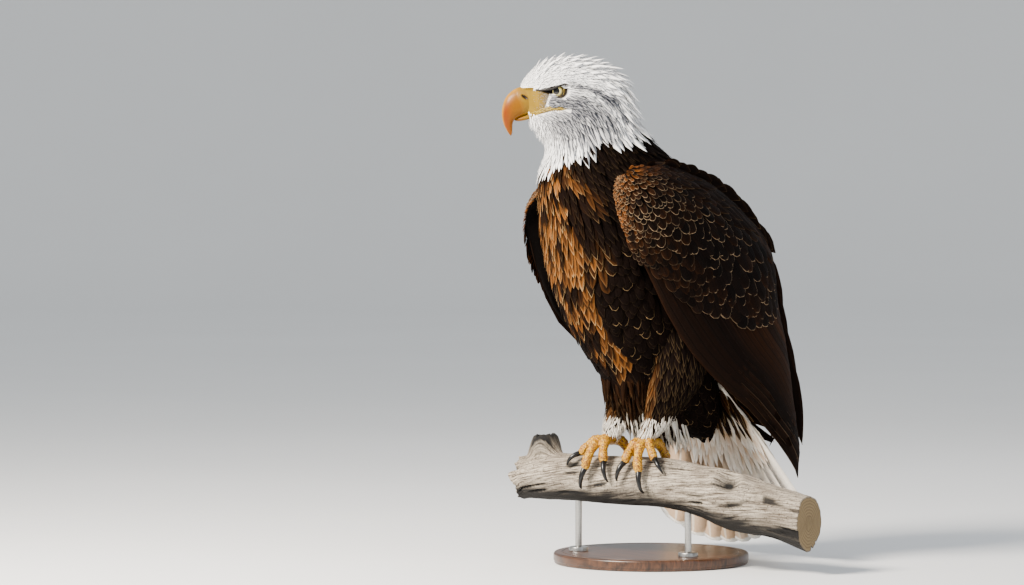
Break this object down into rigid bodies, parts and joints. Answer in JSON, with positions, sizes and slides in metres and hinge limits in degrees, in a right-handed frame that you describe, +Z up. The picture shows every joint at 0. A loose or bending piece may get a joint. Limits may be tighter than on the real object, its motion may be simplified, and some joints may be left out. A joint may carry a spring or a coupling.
{
  "type": "bald eagle",
  "caption": "Life-size still model of a perched bald eagle, wings folded and head turned, gripping a cut length of dead branch on a plain round stand.",
  "frame": {"origin": "centre of the round base's underside, on the floor", "axes": "+Z up; the bird faces -Y and its left side is +X; its head is turned 27 degrees to its right"},
  "size_m": [0.5215, 0.5322, 0.8267],
  "materials": {
    "white_plumage": "soft matt white feathers",
    "brown_plumage": "dark brown feathers with rufous edges",
    "wing_plumage": "dark brown feathers with pale tan fringes",
    "tail_plumage": "smooth white feathers, cream towards the tips",
    "bill_horn": "satin orange-yellow horn",
    "foot_scale": "scaly yellow skin",
    "talon_horn": "glossy black horn",
    "eye_glass": "clear glass over a pale yellow iris",
    "dead_wood": "weathered, cracked and barkless",
    "stand_wood": "dark satin lacquer",
    "stand_steel": "brushed"
  },
  "bodies": {
    "root": {"head": "white_plumage", "neck": "brown_plumage", "trunk": "brown_plumage", "bill_upper": "bill_horn", "bill_lower": "bill_horn", "eye_left": "eye_glass", "eye_right": "eye_glass", "wing_left": "wing_plumage", "wing_right": "wing_plumage", "tail": "tail_plumage", "leg_left": "brown_plumage", "leg_right": "brown_plumage", "foot_left": "foot_scale", "foot_right": "foot_scale", "talon_left_inner": "talon_horn", "talon_left_middle": "talon_horn", "talon_left_outer": "talon_horn", "talon_left_hind": "talon_horn", "talon_right_inner": "talon_horn", "talon_right_middle": "talon_horn", "talon_right_outer": "talon_horn", "talon_right_hind": "talon_horn", "perch_branch": "dead_wood", "stand_base": "stand_wood", "stand_rod_1": "stand_steel", "stand_rod_2": "stand_steel"}
  },
  "joints": []
}
